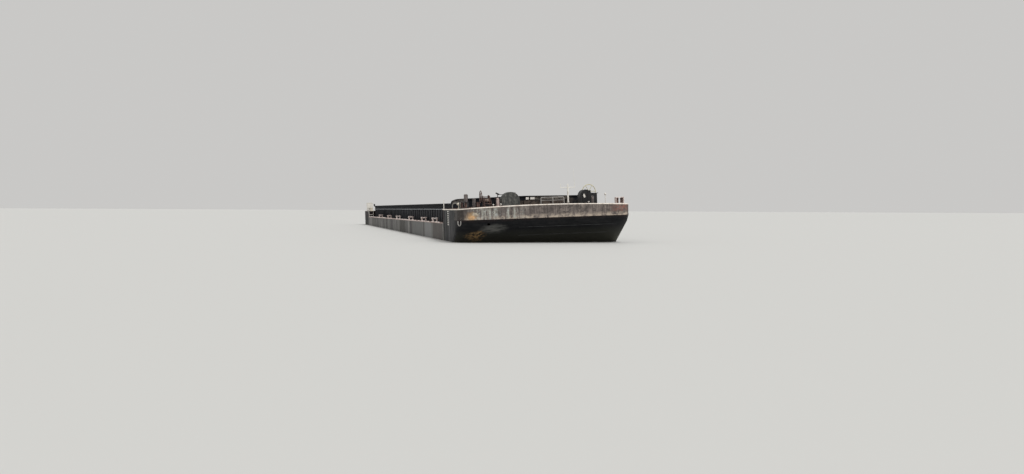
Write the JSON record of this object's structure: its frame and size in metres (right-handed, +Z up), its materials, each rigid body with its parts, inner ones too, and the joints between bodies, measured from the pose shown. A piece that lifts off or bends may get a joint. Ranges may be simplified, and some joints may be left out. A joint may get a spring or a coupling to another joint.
{
  "type": "open river barge, 1:2 scale model",
  "caption": "Open pushed river barge with a hollow hold, raked bow, coamings, deck winches, hinged mast, hatches and roller fairleads.",
  "frame": {"origin": "on the flat bottom, amidships, on the centreline", "axes": "+X towards the bow, +Y to port, +Z up"},
  "size_m": [33, 5.5, 3.0148],
  "materials": {
    "hull_black": "worn black bottom paint",
    "shell_grey": "weathered grey-brown shell paint",
    "bow_band": "worn pale paint with rust runs",
    "deck_rust": "matt rusty deck paint",
    "coaming_blue": "dull blue-black paint",
    "hold_steel": "scoured bare hold plate",
    "white_paint": "chalky white paint",
    "post_grey": "worn grey-pink paint",
    "winch_rust": "rusty cast iron",
    "black_paint": "black paint",
    "hatch_green": "mottled grey-green paint",
    "galvanised": "dull galvanised steel"
  },
  "bodies": {
    "hull": {"double_bottom": "hold_steel", "side_tank_port": "shell_grey", "side_tank_starboard": "shell_grey", "side_deck_port": "deck_rust", "side_deck_starboard": "deck_rust", "cross_bitt_port_1": "post_grey", "cross_bitt_port_2": "post_grey", "cross_bitt_port_3": "post_grey", "cross_bitt_port_4": "post_grey", "cross_bitt_port_5": "post_grey", "cross_bitt_port_6": "post_grey", "cross_bitt_starboard_1": "post_grey", "cross_bitt_starboard_2": "post_grey", "cross_bitt_starboard_3": "post_grey", "cross_bitt_starboard_4": "post_grey", "cross_bitt_starboard_5": "post_grey", "cross_bitt_starboard_6": "post_grey", "bow_hull": "hull_black", "bow_band": "bow_band", "stern_hull": "hull_black", "stern_skeg_port": "hull_black", "stern_skeg_starboard": "hull_black", "coaming_port": "coaming_blue", "coaming_starboard": "coaming_blue", "coaming_forward": "coaming_blue", "coaming_aft": "coaming_blue", "hold_ladder": "galvanised", "bow_post_starboard_tall": "post_grey", "bow_post_starboard_short": "post_grey", "bow_post_starboard_inner": "post_grey", "bow_post_port": "post_grey", "bow_ventilator": "white_paint", "bow_air_pipe": "galvanised", "marker_post_starboard": "white_paint", "marker_post_port": "white_paint", "bow_rail": "galvanised", "mast_foot": "galvanised", "winch_bed_starboard": "winch_rust", "winch_bed_port": "black_paint", "winch_hood_port": "black_paint", "companion_housing": "hatch_green", "fairlead_port": "bow_band", "fairlead_starboard": "bow_band", "stern_bollards_port": "post_grey", "stern_bollards_starboard": "post_grey", "stern_locker_box": "white_paint", "stern_hatch_box": "hatch_green"},
    "mast": {"mast": "white_paint"},
    "starboard_drum": {"winch_drum_starboard": "winch_rust"},
    "starboard_wheel": {"winch_wheel_starboard": "winch_rust"},
    "port_drum": {"winch_drum_port": "black_paint"},
    "port_wheel": {"winch_wheel_port": "galvanised"},
    "companion_door": {"companion_door": "hatch_green"},
    "port_roller_inner": {"fairlead_roller_port_inner": "winch_rust"},
    "port_roller_outer": {"fairlead_roller_port_outer": "winch_rust"},
    "starboard_roller_inner": {"fairlead_roller_starboard_inner": "winch_rust"},
    "starboard_roller_outer": {"fairlead_roller_starboard_outer": "winch_rust"},
    "locker_lid": {"stern_locker_lid": "white_paint"},
    "hatch_lid": {"stern_hatch_lid": "hatch_green"}
  },
  "joints": [
    {"name": "mast_fold", "type": "hinge", "parent": "hull", "child": "mast", "pos_m": [16.22, 0.7725, 1.96948], "axis": [0, -1, 0], "range_deg": [0, 88]},
    {"name": "starboard_drum_turn", "type": "hinge", "parent": "hull", "child": "starboard_drum", "pos_m": [15.25, -1.605, 2.09616], "axis": [0, 1, 0], "continuous": true},
    {"name": "starboard_wheel_turn", "type": "hinge", "parent": "hull", "child": "starboard_wheel", "pos_m": [15.1375, -1.605, 2.21616], "axis": [0, 1, 0], "continuous": true},
    {"name": "port_drum_turn", "type": "hinge", "parent": "hull", "child": "port_drum", "pos_m": [15.25, 1.6925, 2.10349], "axis": [0, 1, 0], "continuous": true},
    {"name": "port_wheel_turn", "type": "hinge", "parent": "hull", "child": "port_wheel", "pos_m": [14.99, 1.847, 2.29348], "axis": [1, 0, 0], "continuous": true},
    {"name": "companion_door_swing", "type": "hinge", "parent": "hull", "child": "companion_door", "pos_m": [14.982, -1.02, 2.1], "axis": [0, 0, 1], "range_deg": [0, 110]},
    {"name": "port_roller_inner_turn", "type": "hinge", "parent": "hull", "child": "port_roller_inner", "pos_m": [16.075, 2.4425, 1.96], "axis": [0, 0, 1], "continuous": true},
    {"name": "port_roller_outer_turn", "type": "hinge", "parent": "hull", "child": "port_roller_outer", "pos_m": [16.075, 2.5675, 1.96], "axis": [0, 0, 1], "continuous": true},
    {"name": "starboard_roller_inner_turn", "type": "hinge", "parent": "hull", "child": "starboard_roller_inner", "pos_m": [16.075, -2.4425, 1.96], "axis": [0, 0, 1], "continuous": true},
    {"name": "starboard_roller_outer_turn", "type": "hinge", "parent": "hull", "child": "starboard_roller_outer", "pos_m": [16.075, -2.5675, 1.96], "axis": [0, 0, 1], "continuous": true},
    {"name": "locker_lid_lift", "type": "hinge", "parent": "hull", "child": "locker_lid", "pos_m": [-16.36, -2.455, 2.215], "axis": [0, -1, 0], "range_deg": [0, 95]},
    {"name": "hatch_lid_lift", "type": "hinge", "parent": "hull", "child": "hatch_lid", "pos_m": [-15.515, 0, 1.855], "axis": [0, -1, 0], "range_deg": [0, 100]}
  ],
  "couplings": [
    {"joint": "starboard_wheel_turn", "follows": "starboard_drum_turn", "ratio": -2.158},
    {"joint": "port_wheel_turn", "follows": "port_drum_turn", "ratio": 8}
  ]
}
